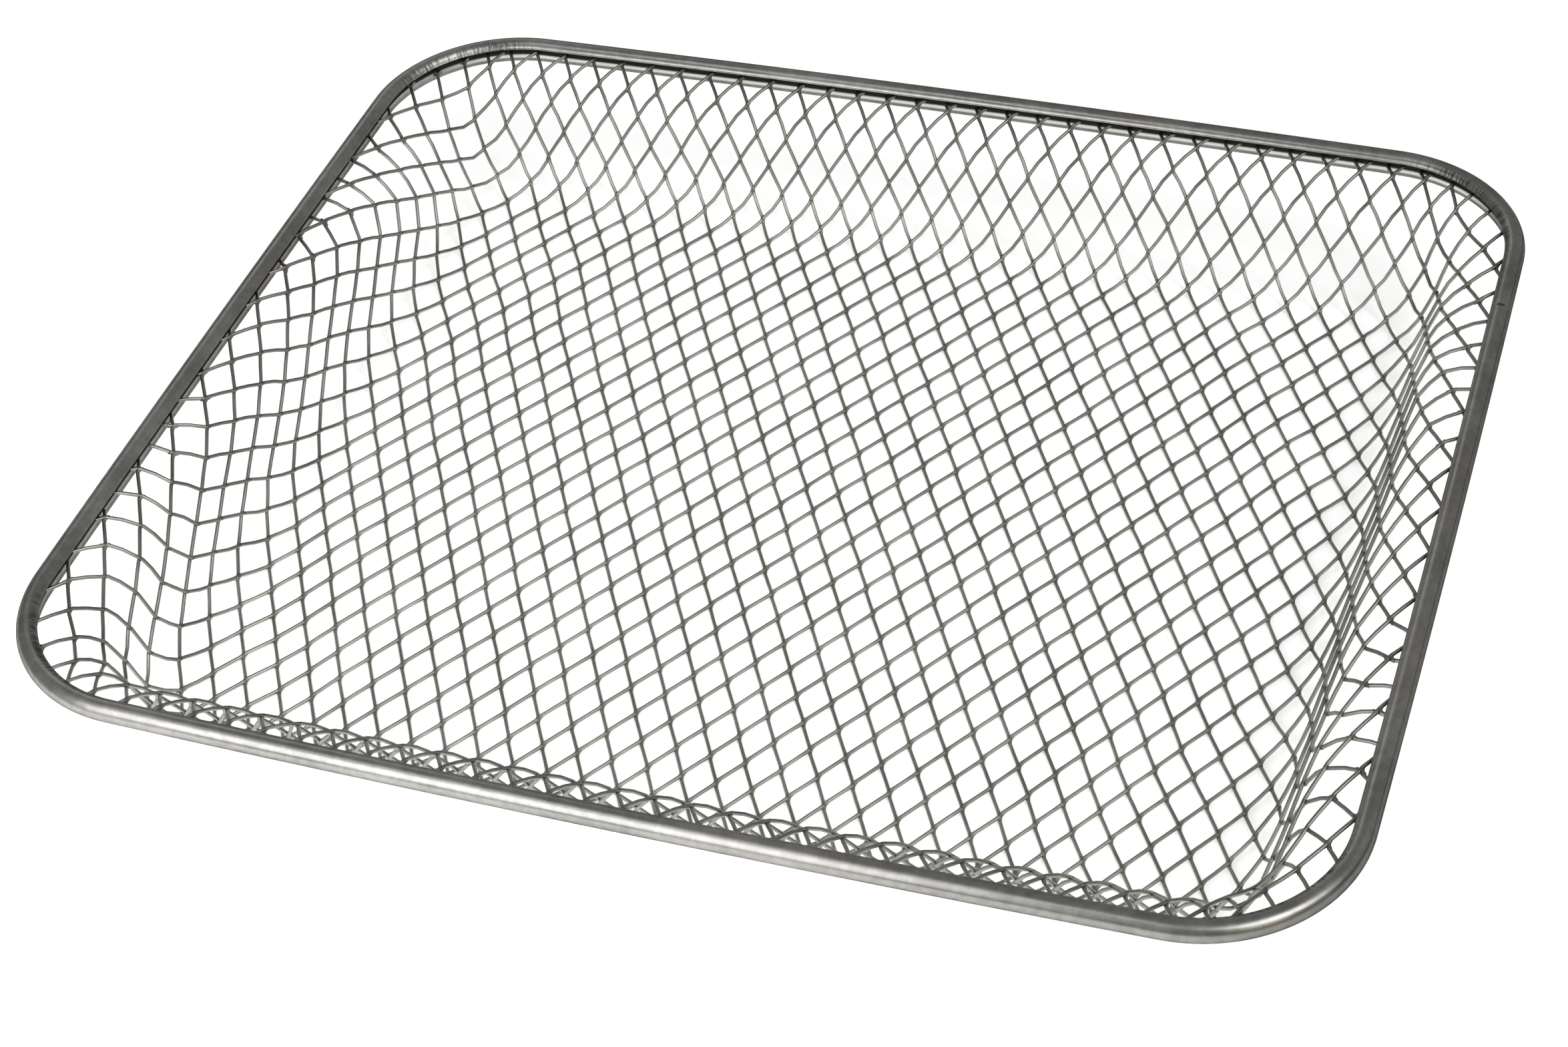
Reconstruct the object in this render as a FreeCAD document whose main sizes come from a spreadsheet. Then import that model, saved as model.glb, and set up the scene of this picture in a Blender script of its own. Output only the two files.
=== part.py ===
"""Deep fryer basket: a woven wire net pressed into a shallow bowl and held in a rolled rim.

Millimetres. The origin is at the centre of the underside, +Z is up and X runs along the long side.
"""

import math
import os

import FreeCAD
import Part
import Sketcher

Vec = FreeCAD.Vector

# How a sketch numbers the points of a curve, its own axes and its origin.
START, END, CENTRE = range(1, 4)
X_AXIS = -1
Y_AXIS = -2
ORIGIN = (X_AXIS, START)

doc = FreeCAD.newDocument("fryer_basket")
sheet = doc.addObject("Spreadsheet::Sheet", "Sizes")

SIZES = (
    ("rim_length", 330.0, "bead centreline across the short sides, at their middles"),
    ("rim_width", 285.6, "bead centreline across the long sides, at their middles"),
    ("corner_radius", 37.7, "bead centreline round a corner"),
    ("long_side_bow", 1.24, "how far a long side bulges past its ends"),
    ("short_side_bow", 0.5, "how far a short side bulges past its ends"),
    ("bead_diameter", 5.6, "outside of the rolled bead"),
    ("lip_rise", 0.7, "upper lip of the slit that takes the wires, above the bead centre"),
    ("hem_outer", 0.5, "outer face of the hem, in from the bead centreline"),
    ("hem_inner", 1.05, "inner face of the hem and back of the slit, in from the bead centreline"),
    ("hem_drop", 4.3, "lower edge of the hem below the bead centre"),
    ("net_depth", 33.4, "mid-surface of the net's floor below the bead centre"),
    ("net_entry", 0.8, "mid-surface of the net below the bead centre where it enters the slit"),
    ("wall_slope", 70.0, "slope of the walls from the level"),
    ("floor_inset", 25.0, "where the wall's line meets the floor, in from the bead centreline"),
    ("flare_radius", 17.1, "outward bend at the top of the walls"),
    ("foot_radius", 13.2, "bend between the walls and the floor"),
    ("wire_width", 1.0, "flat underside of the three-sided section that stands for the round wire"),
    ("wire_height", 0.9, "top edge of that section above its underside"),
    ("layer_gap", 0.25, "clearance between the two layers where wires cross"),
    ("wire_end_inset", 1.75, "where a wire stops inside the bead, in from its centreline"),
    ("shortest_reach", 4.0, "a wire that never comes further in from the rim than this is left out"),
    ("mesh_side", 9.37, "wire length between neighbouring crossings"),
    ("warp_angle", 59.8, "run of the warp wires through the seed crossing, from +X"),
    ("weft_angle", 118.3, "run of the weft wires through the seed crossing, from +X"),
    ("seed_x", -3.9, "seed crossing from the middle of the floor, along the long side"),
    ("seed_y", 8.1, "seed crossing from the middle of the floor, along the short side"),
    ("straightness", 0.1, "a crossing closer than this to a straight run gets no bend of its own"),
)

for row, (alias, value, note) in enumerate(SIZES, start=1):
    sheet.set(f"A{row}", note)
    sheet.set(f"B{row}", str(value))
    sheet.setAlias(f"B{row}", alias)

DERIVED = (
    ("bead_height", "=net_depth + wire_height + layer_gap / 2", "bead centre above the underside"),
    ("long_arc_radius", "=(rim_length / 2 - corner_radius) ^ 2 / (2 * long_side_bow)", "bowed long side"),
    ("short_arc_radius", "=(rim_width / 2 - corner_radius) ^ 2 / (2 * short_side_bow)", "bowed short side"),
    ("half_length", "=rim_length / 2", ""),
    ("half_width", "=rim_width / 2", ""),
    ("bead_radius", "=bead_diameter / 2", ""),
)

for row, (alias, formula, note) in enumerate(DERIVED, start=len(SIZES) + 1):
    sheet.set(f"A{row}", note)
    sheet.set(f"B{row}", formula)
    sheet.setAlias(f"B{row}", alias)

doc.recompute()


def size(alias):
    """Return one size of the sheet as a plain number."""
    return float(sheet.get(alias))


class Outline:
    """The bead centreline seen from above, one quadrant of it with x and y positive."""

    def __init__(self):
        half_length = size("half_length")
        half_width = size("half_width")
        self.corner = size("corner_radius")
        self.long_arc = size("long_arc_radius")
        self.short_arc = size("short_arc_radius")
        self.long_centre = (0.0, half_width - self.long_arc)
        self.short_centre = (half_length - self.short_arc, 0.0)
        self.corner_centre = self.tangent_centre(half_length - self.corner, half_width - self.corner)
        self.long_end = self.direction(self.long_centre)
        self.short_end = self.direction(self.short_centre)

    def tangent_centre(self, x, y):
        """Return the centre of the corner arc that is tangent to both bowed sides."""
        for _ in range(30):
            long_x = x - self.long_centre[0]
            long_y = y - self.long_centre[1]
            short_x = x - self.short_centre[0]
            short_y = y - self.short_centre[1]
            long_span = math.hypot(long_x, long_y)
            short_span = math.hypot(short_x, short_y)
            long_miss = long_span - (self.long_arc - self.corner)
            short_miss = short_span - (self.short_arc - self.corner)
            spread = (long_x * short_y - long_y * short_x) / (long_span * short_span)
            x -= (long_miss * short_y / short_span - short_miss * long_y / long_span) / spread
            y -= (short_miss * long_x / long_span - long_miss * short_x / short_span) / spread
        return x, y

    def direction(self, centre):
        """Return the angle at which the line from an arc's centre passes the corner's centre."""
        return math.atan2(self.corner_centre[1] - centre[1], self.corner_centre[0] - centre[0])

    def inset(self, x, y):
        """Return how far a point lies inside the centreline; outside it the value is negative."""
        x = abs(x)
        y = abs(y)
        corner_x = x - self.corner_centre[0]
        corner_y = y - self.corner_centre[1]
        if self.short_end < math.atan2(corner_y, corner_x) < self.long_end:
            if corner_x > 0 or corner_y > 0:
                return self.corner - math.hypot(corner_x, corner_y)
        to_long = self.long_arc - math.hypot(x - self.long_centre[0], y - self.long_centre[1])
        to_short = self.short_arc - math.hypot(x - self.short_centre[0], y - self.short_centre[1])
        return min(to_long, to_short)


class Bowl:
    """The net's mid-surface: a level brim, a flare, a straight wall, a foot bend and a flat floor."""

    def __init__(self, outline):
        self.outline = outline
        slope = math.radians(size("wall_slope"))
        self.tangent = math.tan(slope)
        self.flare = size("flare_radius")
        self.foot = size("foot_radius")
        self.brim = size("bead_height") - size("net_entry")
        self.floor = size("bead_height") - size("net_depth")
        self.toe = size("floor_inset")
        wall_top = self.toe - (self.brim - self.floor) / self.tangent
        flare_leg = self.flare * math.tan(slope / 2)
        foot_leg = self.foot * math.tan(slope / 2)
        self.flare_start = wall_top - flare_leg
        self.flare_end = wall_top + flare_leg * math.cos(slope)
        self.foot_start = self.toe - foot_leg * math.cos(slope)
        self.foot_end = self.toe + foot_leg

    def profile(self, inset):
        """Return the height of the mid-surface at an inset from the rim."""
        if inset <= self.flare_start:
            return self.brim
        if inset < self.flare_end:
            run = inset - self.flare_start
            return self.brim - self.flare + math.sqrt(self.flare**2 - run**2)
        if inset < self.foot_start:
            return self.floor + (self.toe - inset) * self.tangent
        if inset < self.foot_end:
            run = self.foot_end - inset
            return self.floor + self.foot - math.sqrt(self.foot**2 - run**2)
        return self.floor

    def height(self, x, y):
        """Return the height of the mid-surface above the underside at a plan position."""
        return self.profile(self.outline.inset(x, y))

    def point(self, x, y):
        """Return the point of the mid-surface at a plan position."""
        return Vec(x, y, self.height(x, y))

    def normal(self, x, y):
        """Return the unit normal of the mid-surface, pointing into the bowl and up."""
        step = 0.05
        rise_x = (self.height(x + step, y) - self.height(x - step, y)) / (2 * step)
        rise_y = (self.height(x, y + step) - self.height(x, y - step)) / (2 * step)
        return Vec(-rise_x, -rise_y, 1).normalize()


class Net:
    """A net of equal cells laid on the bowl, as woven cloth takes the shape when it is pressed in.

    The wires keep the distance between their crossings, and only the angle between them changes.
    Two wires through a seed crossing are laid out first along the section at the middle of the
    bowl, and every other crossing follows from three neighbours.
    """

    reach = 40
    blank_margin = 70.0

    def __init__(self, bowl):
        self.bowl = bowl
        self.side = size("mesh_side")
        self.crossings = {}
        self.lay_seed_wires()
        for sign_i in (1, -1):
            for sign_j in (1, -1):
                self.fill_quarter(sign_i, sign_j)

    def lay_seed_wires(self):
        """Lay the two wires through the seed crossing."""
        step = 0.1
        ladder = [(0.0, 0.0)]
        for rung in range(1, int((size("half_width") + self.blank_margin) / step)):
            y = rung * step
            rise = self.bowl.height(0, y) - self.bowl.height(0, y - step)
            ladder.append((ladder[-1][0] + math.hypot(step, rise), y))
        seed_run = self.run_to(ladder, size("seed_y"))
        warp = math.radians(size("warp_angle"))
        weft = math.radians(size("weft_angle"))
        for n in range(-self.reach, self.reach + 1):
            for key, angle in (((n, 0), warp), ((0, n), weft)):
                run = seed_run + n * self.side * math.sin(angle)
                x = size("seed_x") + n * self.side * math.cos(angle)
                if abs(run) < ladder[-1][0]:
                    y = math.copysign(self.across(ladder, abs(run)), run)
                    self.crossings[key] = self.bowl.point(x, y)

    @staticmethod
    def run_to(ladder, across):
        """Return the length along the middle section to a distance from the centre."""
        for low, high in zip(ladder, ladder[1:]):
            if low[1] <= abs(across) <= high[1]:
                share = (abs(across) - low[1]) / (high[1] - low[1])
                return math.copysign(low[0] + share * (high[0] - low[0]), across)
        raise ValueError("the seed crossing is outside the rim")

    @staticmethod
    def across(ladder, run):
        """Return the distance from the centre at a length along the middle section."""
        low = 0
        high = len(ladder) - 1
        while high - low > 1:
            middle = (low + high) // 2
            if ladder[middle][0] > run:
                high = middle
            else:
                low = middle
        share = (run - ladder[low][0]) / (ladder[high][0] - ladder[low][0])
        return ladder[low][1] + share * (ladder[high][1] - ladder[low][1])

    def fill_quarter(self, sign_i, sign_j):
        """Find the crossings of one quarter, row by row away from the seed."""
        for i in range(1, self.reach + 1):
            for j in range(1, self.reach + 1):
                beside = self.crossings.get((sign_i * (i - 1), sign_j * j))
                before = self.crossings.get((sign_i * i, sign_j * (j - 1)))
                behind = self.crossings.get((sign_i * (i - 1), sign_j * (j - 1)))
                if beside and before and behind:
                    found = self.fourth_corner(beside, before, behind)
                    if found and self.bowl.outline.inset(found.x, found.y) > -self.blank_margin:
                        self.crossings[sign_i * i, sign_j * j] = found

    def fourth_corner(self, first, second, behind):
        """Return the point of the bowl one cell side from two crossings, away from a third."""
        x = first.x + second.x - behind.x
        y = first.y + second.y - behind.y
        step = 0.02
        longest_move = 1.5
        for _ in range(14):
            height = self.bowl.height
            rise_x = (height(x + step, y) - height(x - step, y)) / (2 * step)
            rise_y = (height(x, y + step) - height(x, y - step)) / (2 * step)
            here = self.bowl.point(x, y)
            rows = []
            for other in (first, second):
                way = here - other
                far = way.Length
                rows.append((far - self.side, (way.x + way.z * rise_x) / far, (way.y + way.z * rise_y) / far))
            (miss_a, ax, ay), (miss_b, bx, by) = rows
            spread = ax * by - ay * bx
            if abs(spread) < 0.02:
                return None
            move_x = (miss_a * by - miss_b * ay) / spread
            move_y = (miss_b * ax - miss_a * bx) / spread
            longest = max(abs(move_x), abs(move_y))
            if longest > longest_move:
                move_x *= longest_move / longest
                move_y *= longest_move / longest
            x -= move_x
            y -= move_y
            if longest < 1e-4:
                return self.bowl.point(x, y)
        if abs(miss_a) + abs(miss_b) > 0.2:
            return None
        return self.bowl.point(x, y)

    def wires(self, family):
        """Return every wire of a family as its stations on the mid-surface, trimmed at the rim.

        Family 0 is the warp, whose wires pass the crossings with one second index; family 1 is
        the weft.
        """
        along = family
        runs = []
        for number in range(-self.reach, self.reach + 1):
            line = sorted(key[along] for key in self.crossings if key[1 - along] == number)
            points = [self.crossings[(n, number) if along == 0 else (number, n)] for n in line]
            runs += self.trimmed(points)
        return runs

    def trimmed(self, points):
        """Return the parts of a wire that lie inside the rim, each ending at wire_end_inset."""
        limit = size("wire_end_inset")
        inset = self.bowl.outline.inset
        runs = []
        run = []
        for here, there in zip(points, points[1:]):
            inside = inset(here.x, here.y) > limit
            goes_on = inset(there.x, there.y) > limit
            if inside and not run:
                run = [here]
            if inside != goes_on:
                run.append(self.rim_point(here, there, limit))
            if goes_on:
                run.append(there)
            elif run:
                runs.append(run)
                run = []
        return [run for run in runs if self.reaches_in(run)]

    def rim_point(self, here, there, limit):
        """Return the point between two stations at which the wire ends inside the bead."""
        low = 0.0
        high = 1.0
        starts_inside = self.bowl.outline.inset(here.x, here.y) > limit
        for _ in range(30):
            middle = (low + high) / 2
            point = here + (there - here) * middle
            if (self.bowl.outline.inset(point.x, point.y) > limit) == starts_inside:
                low = middle
            else:
                high = middle
        point = here + (there - here) * low
        return self.bowl.point(point.x, point.y)

    def reaches_in(self, run):
        """Tell whether a wire comes out of the bead far enough to be seen."""
        return max(self.bowl.outline.inset(p.x, p.y) for p in run) > size("shortest_reach")


def straightened(points, floor, tolerance):
    """Return the stations of a wire without those that a straight run passes closely enough.

    The stations where the wire leaves the flat floor always stay.
    """
    keep = [0]
    end = 1
    while end < len(points) - 1:
        start = keep[-1]
        way = points[end + 1] - points[start]
        way.normalize()
        off = max((point - points[start]).cross(way).Length for point in points[start + 1 : end + 1])
        lifts_off = points[end].z - floor < 1e-6 < max(points[end - 1].z, points[end + 1].z) - floor
        if off > tolerance or lifts_off:
            keep.append(end)
        end += 1
    keep.append(len(points) - 1)
    return [points[n] for n in keep]


def section_corners(before, point, after, normal, lift):
    """Return the corners of a wire's section on the mitre plane at one of its stations.

    The section is set out on the longer of the two runs that meet here and carried along that run
    to the mitre plane, so that a long run keeps flat sides.
    """
    half_height = size("wire_height") / 2
    half_width = size("wire_width") / 2
    arriving = point - before if before else after - point
    leaving = after - point if after else point - before
    run = arriving if arriving.Length > leaving.Length else leaving
    run = Vec(run).normalize()
    mitre = arriving.normalize() + leaving.normalize()
    sideways = normal.cross(run).normalize()
    upward = run.cross(sideways)
    corners = []
    for up, side in ((1, 0), (-1, -1), (-1, 1)):
        corner = upward * (lift + up * half_height) + sideways * (side * half_width)
        corners.append(point + corner - run * (corner.dot(mitre) / run.dot(mitre)))
    return corners


def side_panel(corners):
    """Return the face between four corners: flat where they lie in one plane, otherwise ruled."""
    first, second, third, fourth = corners
    if abs((second - first).cross(fourth - first).dot(third - first)) < 1e-6:
        return Part.Face(Part.makePolygon(corners + corners[:1]))
    return Part.makeRuledSurface(Part.makeLine(first, second), Part.makeLine(fourth, third))


def wire_solid(points, bowl, lift):
    """Return one bent three-sided wire through its stations, lifted off the mid-surface."""
    ends = [None] + points + [None]
    sections = []
    for before, point, after in zip(ends, points, ends[2:]):
        normal = bowl.normal(point.x, point.y)
        sections.append(section_corners(before, point, after, normal, lift))
    faces = [Part.Face(Part.makePolygon(end + end[:1])) for end in (sections[0], sections[-1])]
    for here, there in zip(sections, sections[1:]):
        for n in range(3):
            faces.append(side_panel([here[n], here[n - 1], there[n - 1], there[n]]))
    shell = Part.makeShell(faces)
    shell.sewShape()
    solid = Part.makeSolid(shell)
    if solid.Volume < 0:
        solid.reverse()
    return solid


def plane(body, role):
    """Return one of a body's origin planes."""
    return next(item for item in body.Origin.OriginFeatures if item.Role == role)


def add_sketch(body, name, role, offsets):
    """Return a new sketch on an origin plane, shifted by sizes of the sheet."""
    sketch = body.newObject("Sketcher::SketchObject", name)
    sketch.AttachmentSupport = [(plane(body, role), "")]
    sketch.MapMode = "FlatFace"
    for axis, alias in offsets.items():
        sketch.setExpression(f"AttachmentOffset.Base.{axis}", f"Sizes.{alias}")
    return sketch


def constrain(sketch, name, expression, kind, *places):
    """Add a dimension to a sketch and bind it to the sheet."""
    number = sketch.addConstraint(Sketcher.Constraint(kind, *places))
    sketch.renameConstraint(number, name)
    sketch.setExpression(f"Constraints.{name}", expression)


def draw_bead_path(body, outline):
    """Draw one quadrant of the bead's centreline: half a long side, a corner, half a short side."""
    path = add_sketch(body, "bead_path", "XY_Plane", {"z": "bead_height"})
    up = Vec(0, 0, 1)
    long_circle = Part.Circle(Vec(*outline.long_centre, 0), up, outline.long_arc)
    corner_circle = Part.Circle(Vec(*outline.corner_centre, 0), up, outline.corner)
    short_circle = Part.Circle(Vec(*outline.short_centre, 0), up, outline.short_arc)
    long_arc = path.addGeometry(Part.ArcOfCircle(long_circle, outline.long_end, math.pi / 2))
    corner = path.addGeometry(Part.ArcOfCircle(corner_circle, outline.short_end, outline.long_end))
    short_arc = path.addGeometry(Part.ArcOfCircle(short_circle, 0, outline.short_end))
    path.addConstraint(Sketcher.Constraint("Tangent", long_arc, START, corner, END))
    path.addConstraint(Sketcher.Constraint("Tangent", corner, START, short_arc, END))
    path.addConstraint(Sketcher.Constraint("PointOnObject", long_arc, CENTRE, Y_AXIS))
    path.addConstraint(Sketcher.Constraint("PointOnObject", long_arc, END, Y_AXIS))
    path.addConstraint(Sketcher.Constraint("PointOnObject", short_arc, CENTRE, X_AXIS))
    path.addConstraint(Sketcher.Constraint("PointOnObject", short_arc, START, X_AXIS))
    constrain(path, "corner", "Sizes.corner_radius", "Radius", corner, outline.corner)
    constrain(path, "long_arc", "Sizes.long_arc_radius", "Radius", long_arc, outline.long_arc)
    constrain(path, "short_arc", "Sizes.short_arc_radius", "Radius", short_arc, outline.short_arc)
    half_width = size("half_width")
    half_length = size("half_length")
    constrain(path, "half_width", "Sizes.half_width", "DistanceY", *ORIGIN, long_arc, END, half_width)
    constrain(path, "half_length", "Sizes.half_length", "DistanceX", *ORIGIN, short_arc, START, half_length)
    return path


def draw_bead_section(body):
    """Draw the rim's section across a long side: the bead, its slit for the wires, and the hem.

    The roll is drawn as one piece. Its inside is hidden, apart from the slit, whose back runs
    straight down into the hem.
    """
    section = add_sketch(body, "bead_section", "YZ_Plane", {"x": "half_width", "y": "bead_height"})
    radius = size("bead_radius")
    lip = Vec(-math.sqrt(radius**2 - size("lip_rise") ** 2), size("lip_rise"), 0)
    slit = Vec(-size("hem_inner"), lip.y, 0)
    edge_in = Vec(slit.x, -size("hem_drop"), 0)
    edge_out = Vec(-size("hem_outer"), edge_in.y, 0)
    root = Vec(edge_out.x, -math.sqrt(radius**2 - edge_out.x**2), 0)
    circle = Part.Circle(Vec(0, 0, 0), Vec(0, 0, 1), radius)
    skin = section.addGeometry(
        Part.ArcOfCircle(circle, math.atan2(root.y, root.x), math.atan2(lip.y, lip.x))
    )
    slit_top = section.addGeometry(Part.LineSegment(lip, slit))
    hem_face = section.addGeometry(Part.LineSegment(slit, edge_in))
    hem_edge = section.addGeometry(Part.LineSegment(edge_in, edge_out))
    hem_back = section.addGeometry(Part.LineSegment(edge_out, root))
    loop = (skin, slit_top, hem_face, hem_edge, hem_back)
    for curve, following in zip(loop, loop[1:] + loop[:1]):
        section.addConstraint(Sketcher.Constraint("Coincident", curve, END, following, START))
    section.addConstraint(Sketcher.Constraint("Coincident", skin, CENTRE, *ORIGIN))
    section.addConstraint(Sketcher.Constraint("Horizontal", slit_top))
    section.addConstraint(Sketcher.Constraint("Vertical", hem_face))
    section.addConstraint(Sketcher.Constraint("Horizontal", hem_edge))
    section.addConstraint(Sketcher.Constraint("Vertical", hem_back))
    constrain(section, "bead", "Sizes.bead_radius", "Radius", skin, radius)
    constrain(section, "lip_rise", "Sizes.lip_rise", "DistanceY", *ORIGIN, skin, END, lip.y)
    constrain(section, "hem_inner", "Sizes.hem_inner", "DistanceX", hem_edge, START, *ORIGIN, -slit.x)
    constrain(section, "hem_outer", "Sizes.hem_outer", "DistanceX", hem_edge, END, *ORIGIN, -root.x)
    constrain(section, "hem_drop", "Sizes.hem_drop", "DistanceY", hem_edge, START, *ORIGIN, -edge_in.y)
    return section


def build_rim(outline):
    """Sweep the rim's section along a quadrant of the outline and mirror it twice."""
    body = doc.addObject("PartDesign::Body", "rolled_rim")
    body.Label = "rolled_rim"
    path = draw_bead_path(body, outline)
    section = draw_bead_section(body)
    quarter = body.newObject("PartDesign::AdditivePipe", "rim_quarter")
    quarter.Profile = section
    quarter.Spine = path
    whole = body.newObject("PartDesign::MultiTransform", "rim_whole")
    whole.Originals = [quarter]
    across = doc.addObject("PartDesign::Mirrored", "mirror_across")
    across.MirrorPlane = (plane(body, "YZ_Plane"), [""])
    along = doc.addObject("PartDesign::Mirrored", "mirror_along")
    along.MirrorPlane = (plane(body, "XZ_Plane"), [""])
    whole.Transformations = [across, along]
    body.Tip = whole
    doc.recompute()
    return body


def build_wires(net, label, family, lift):
    """Build every wire of one family as a solid of its own, in one group."""
    solids = []
    for stations in net.wires(family):
        bends = straightened(stations, net.bowl.floor, size("straightness"))
        solids.append(wire_solid(bends, net.bowl, lift))
    group = doc.addObject("Part::Feature", label)
    group.Label = label
    group.Shape = Part.makeCompound(solids)
    return group


outline = Outline()
net = Net(Bowl(outline))
layer_lift = (size("wire_height") + size("layer_gap")) / 2
parts = [
    build_rim(outline),
    build_wires(net, "warp_wires", 0, layer_lift),
    build_wires(net, "weft_wires", 1, -layer_lift),
]
doc.recompute()

for obj in doc.Objects:
    if "Invalid" in obj.State or "Error" in obj.State:
        raise RuntimeError(f"{obj.Label} did not build: {obj.State}")

os.makedirs("parts", exist_ok=True)
for part in parts:
    if part.Shape.isNull() or not part.Shape.isValid():
        raise RuntimeError(f"{part.Label} has no valid shape")
    part.Shape.exportStep(f"parts/{part.Label}.step")
    box = part.Shape.BoundBox
    print(
        f"{part.Label}: {len(part.Shape.Solids)} solids, {len(part.Shape.Faces)} faces,",
        f"x {box.XMin:.2f} {box.XMax:.2f}, y {box.YMin:.2f} {box.YMax:.2f}, z {box.ZMin:.2f} {box.ZMax:.2f}",
    )
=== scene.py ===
"""Looks of the deep fryer basket: a woven steel wire net in a rolled steel rim.

The net is draped over the bowl crossing by crossing, as the construction does it. A geometry node
tree makes its wires round and lays them in two layers, one family pressed onto the other. The rim
is swept from its rolled section. The frame is that of the construction: +Z up and X along the long
side. Sizes are in millimetres up to the point where a mesh is made, which is in metres.
"""

import logging
import math
from dataclasses import dataclass, field
from enum import Enum
from typing import Union

import bpy
from mathutils import Matrix, Vector


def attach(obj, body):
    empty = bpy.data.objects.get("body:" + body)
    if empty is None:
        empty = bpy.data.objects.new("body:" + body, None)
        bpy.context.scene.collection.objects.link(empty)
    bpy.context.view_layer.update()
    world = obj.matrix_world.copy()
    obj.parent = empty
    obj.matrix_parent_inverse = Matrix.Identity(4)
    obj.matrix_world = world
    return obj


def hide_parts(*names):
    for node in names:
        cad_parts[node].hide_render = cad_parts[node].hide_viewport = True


logging.basicConfig(level=logging.INFO, format="%(name)s: %(message)s")
LOG = logging.getLogger("fryer_basket")

MM = 0.001

# How often a search mends or halves its guess, well past what it needs.
SEARCH_STEPS = 30

Colour = tuple[float, float, float]
Crossing = tuple[int, int]

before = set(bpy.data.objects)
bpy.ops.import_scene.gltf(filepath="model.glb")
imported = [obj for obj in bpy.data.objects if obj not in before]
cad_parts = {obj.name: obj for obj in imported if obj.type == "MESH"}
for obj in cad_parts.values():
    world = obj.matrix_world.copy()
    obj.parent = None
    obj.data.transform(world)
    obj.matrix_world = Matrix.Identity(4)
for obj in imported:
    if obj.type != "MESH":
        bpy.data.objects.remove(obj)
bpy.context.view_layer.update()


class Family(Enum):
    """The two sets of wires of the net."""

    WARP = "warp"
    WEFT = "weft"

    @property
    def along(self) -> int:
        """Return which index of a crossing counts along a wire of this family."""
        return 0 if self is Family.WARP else 1

    @property
    def side(self) -> int:
        """Return 1 for the family that lies on the bowl's inside and -1 for the other."""
        return 1 if self is Family.WARP else -1


# Shapes that the pieces share


@dataclass
class RimLine:
    """The rim's centreline seen from above: four slightly bowed sides and round corners.

    Args:
        half_length: Centre to the middle of a short side.
        half_width: Centre to the middle of a long side.
        corner: Radius of the corners.
        long_bow: How far a long side bulges past its ends.
        short_bow: How far a short side bulges past its ends.
    """

    half_length: float = 165.0
    half_width: float = 142.8
    corner: float = 37.7
    long_bow: float = 1.24
    short_bow: float = 0.5

    def __post_init__(self) -> None:
        """Find the arcs' centres and the angles at which they meet."""
        self.long_arc = (self.half_length - self.corner) ** 2 / (2 * self.long_bow)
        self.short_arc = (self.half_width - self.corner) ** 2 / (2 * self.short_bow)
        self.long_centre = Vector((0, self.half_width - self.long_arc))
        self.short_centre = Vector((self.half_length - self.short_arc, 0))
        self.corner_centre = self._corner_centre()
        to_corner = self.corner_centre - self.long_centre
        self.long_end = math.atan2(to_corner.y, to_corner.x)
        to_corner = self.corner_centre - self.short_centre
        self.short_end = math.atan2(to_corner.y, to_corner.x)

    def _corner_centre(self) -> Vector:
        """Return the centre of the corner arc that touches both bowed sides."""
        centre = Vector((self.half_length - self.corner, self.half_width - self.corner))
        for _ in range(SEARCH_STEPS):
            to_long = centre - self.long_centre
            to_short = centre - self.short_centre
            long_miss = to_long.length - (self.long_arc - self.corner)
            short_miss = to_short.length - (self.short_arc - self.corner)
            to_long.normalize()
            to_short.normalize()
            spread = to_long.x * to_short.y - to_long.y * to_short.x
            centre.x -= (long_miss * to_short.y - short_miss * to_long.y) / spread
            centre.y -= (short_miss * to_long.x - long_miss * to_short.x) / spread
        return centre

    def inset(self, x: float, y: float) -> float:
        """Return how far a point lies inside the centreline; outside it the value is negative."""
        x, y = abs(x), abs(y)
        corner_x = x - self.corner_centre.x
        corner_y = y - self.corner_centre.y
        if self.short_end < math.atan2(corner_y, corner_x) < self.long_end:
            if corner_x > 0 or corner_y > 0:
                return self.corner - math.hypot(corner_x, corner_y)
        to_long = self.long_arc - math.hypot(x - self.long_centre.x, y - self.long_centre.y)
        to_short = self.short_arc - math.hypot(x - self.short_centre.x, y - self.short_centre.y)
        return min(to_long, to_short)

    def stations(self, side_step: float, corner_step: float) -> list[tuple[Vector, Vector]]:
        """Return points all round the centreline, each with its outward direction.

        Args:
            side_step: Distance between points on the sides.
            corner_step: Distance between points in the corners.

        Returns:
            The points and directions, anticlockwise from the middle of a short side.
        """
        quarter = []
        arcs = (
            (self.short_centre, self.short_arc, 0.0, self.short_end, side_step),
            (self.corner_centre, self.corner, self.short_end, self.long_end, corner_step),
            (self.long_centre, self.long_arc, self.long_end, math.pi / 2, side_step),
        )
        for centre, radius, start, end, step in arcs:
            count = max(2, round((end - start) * radius / step))
            for n in range(count):
                angle = start + (end - start) * n / count
                way = Vector((math.cos(angle), math.sin(angle)))
                quarter.append((centre + radius * way, way))
        top = (Vector((0, self.half_width)), Vector((0, 1)))
        mirrored = [(Vector((-p.x, p.y)), Vector((-w.x, w.y))) for p, w in reversed(quarter[1:])]
        upper = quarter + [top] + mirrored
        left = (Vector((-self.half_length, 0)), Vector((-1, 0)))
        lower = [(Vector((p.x, -p.y)), Vector((w.x, -w.y))) for p, w in reversed(upper[1:])]
        return upper + [left] + lower


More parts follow.
